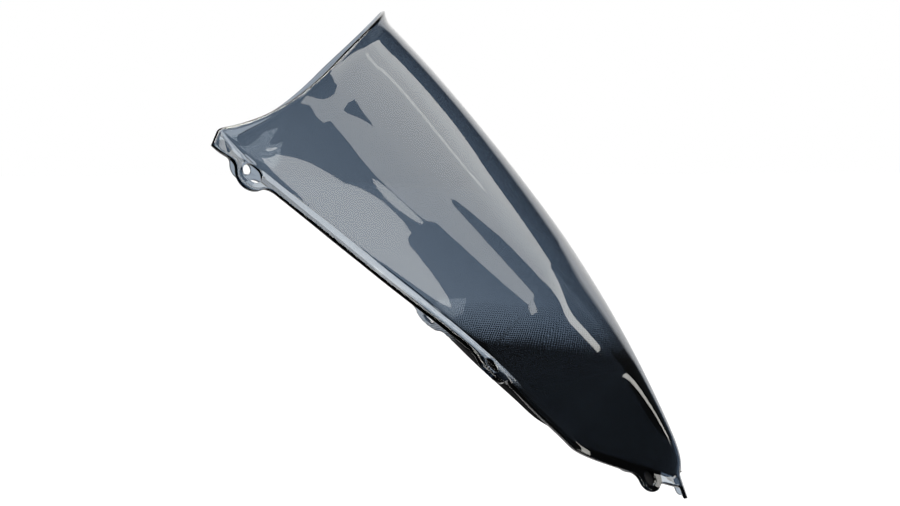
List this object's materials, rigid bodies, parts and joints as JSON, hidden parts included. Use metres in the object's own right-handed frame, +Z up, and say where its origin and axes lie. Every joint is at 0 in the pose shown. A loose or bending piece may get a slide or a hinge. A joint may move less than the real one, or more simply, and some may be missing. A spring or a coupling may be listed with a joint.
{
  "type": "motorcycle windshield screen",
  "caption": "Smoke-tinted double-bubble screen for a sport motorcycle fairing: one thermoformed acrylic sheet with a flared trailing lip, drilled flange lugs and a black fade print.",
  "frame": {"origin": "midway between the holes of the two rear lugs, on the plane of symmetry", "axes": "+X forwards towards the nose, +Y across to the left side as ridden, +Z up; the screen stands raked nose-down as it does on the fairing"},
  "size_m": [0.3848, 0.3262, 0.3928],
  "materials": {
    "smoke_acrylic": "transparent smoke-tinted acrylic, polished gloss on both faces",
    "black_ink": "opaque black screen-printed ink, breaking into a halftone dot fade"
  },
  "bodies": {
    "root": {"screen_shell": "smoke_acrylic", "fade_print": "black_ink"}
  },
  "joints": []
}
